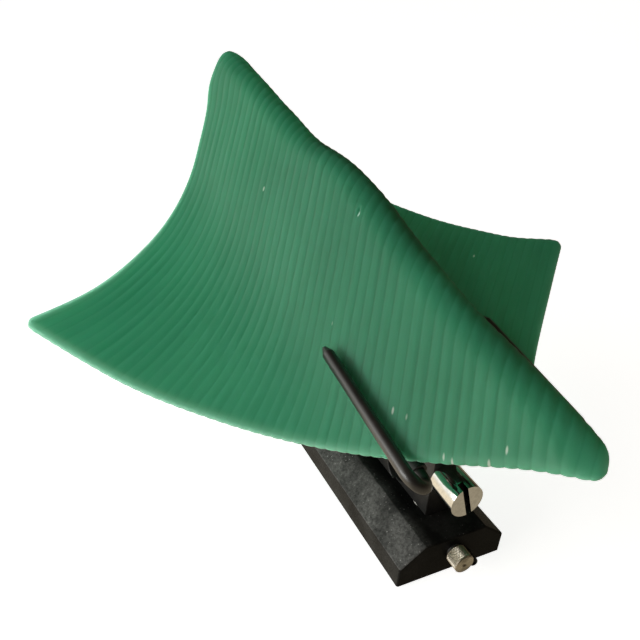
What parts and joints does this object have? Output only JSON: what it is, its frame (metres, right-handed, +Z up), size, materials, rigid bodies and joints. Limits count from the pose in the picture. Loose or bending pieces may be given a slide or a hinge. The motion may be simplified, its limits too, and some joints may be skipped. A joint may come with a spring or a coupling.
{
  "type": "desk lamp",
  "caption": "Low desk lamp: reeded green glass sheet draped over a ridge, held by round-bar clips on a tilting, swivelling upright over a chamfered black bar base with a dimmer knob.",
  "frame": {"origin": "centre of the underside of the non-slip pad, under the middle of the bar base", "axes": "+X towards the knob end of the base, +Z up, +Y to the left of a person who looks along +X"},
  "size_m": [0.4152, 0.3556, 0.1981],
  "materials": {
    "base_black": "crackle black paint, dusty, worn",
    "cover_steel": "black painted sheet",
    "small_steel": "bright zinc-plated steel",
    "pad_rubber": "matt",
    "ballast_iron": "as cast",
    "board": "paper laminate board",
    "copper_winding": "enamelled copper",
    "black_plastic": "moulded",
    "terminal_plastic": "moulded",
    "brass_parts": "bright",
    "gland_rubber": "matt",
    "nylon": "natural nylon",
    "knob_nickel": "knurled, nickel plated, tarnished",
    "upright_black": "satin black paint",
    "chrome": "polished",
    "green_glass": "reeded, satin, deep green",
    "rod_black": "satin black paint",
    "silicone": "translucent grey silicone",
    "reflector_aluminium": "satin inside",
    "quartz": "clear quartz",
    "tungsten": "coiled wire",
    "ceramic_white": "unglazed steatite"
  },
  "bodies": {
    "base": {"base_housing": "base_black", "bottom_cover": "cover_steel", "cover_screws": "small_steel", "non_slip_pad": "pad_rubber", "ballast_block": "ballast_iron", "dimmer_board": "board", "filter_choke": "copper_winding", "triac": "black_plastic", "dimmer_body": "black_plastic", "dimmer_nut": "small_steel", "terminal_block": "terminal_plastic", "terminal_screws": "brass_parts", "cord_gland": "gland_rubber", "swivel_post": "small_steel", "post_nut": "small_steel", "swivel_washer": "nylon"},
    "dimmer": {"dimmer_shaft": "small_steel", "dimmer_knob": "knob_nickel", "knob_grub_screw": "small_steel"},
    "arm": {"upright": "upright_black", "tilt_bushes": "nylon", "brake_plug": "nylon"},
    "tension_screw": {"brake_screw": "chrome"},
    "head": {"glass_shade": "green_glass", "near_clip": "rod_black", "near_clip_hub": "upright_black", "near_clip_sleeves": "silicone", "far_clip": "rod_black", "far_clip_hub": "upright_black", "far_clip_sleeves": "silicone", "hub_screws": "small_steel", "tilt_shaft": "rod_black", "shaft_collars": "upright_black", "lamp_yoke": "upright_black", "yoke_screws": "small_steel", "reflector": "reflector_aluminium", "halogen_tube": "quartz", "lamp_filament": "tungsten", "lamp_caps": "ceramic_white", "lamp_contacts": "small_steel", "lamp_holders": "ceramic_white"}
  },
  "joints": [
    {"name": "arm_swing", "type": "hinge", "parent": "base", "child": "arm", "pos_m": [0.102, 0, 0.0247], "axis": [0, 0, 1], "range_deg": [-40, 40]},
    {"name": "head_tilt", "type": "hinge", "parent": "arm", "child": "head", "pos_m": [0.1, 0, 0.0883], "axis": [0, 1, 0], "range_deg": [-18, 14]},
    {"name": "tension_screw_turn", "type": "hinge", "parent": "arm", "child": "tension_screw", "pos_m": [0.112, 0, 0.0492], "axis": [1, 0, 0], "range_deg": [-180, 180]},
    {"name": "dimmer_turn", "type": "hinge", "parent": "base", "child": "dimmer", "pos_m": [0.13, 0, 0.0136], "axis": [1, 0, 0], "range_deg": [0, 300]}
  ]
}
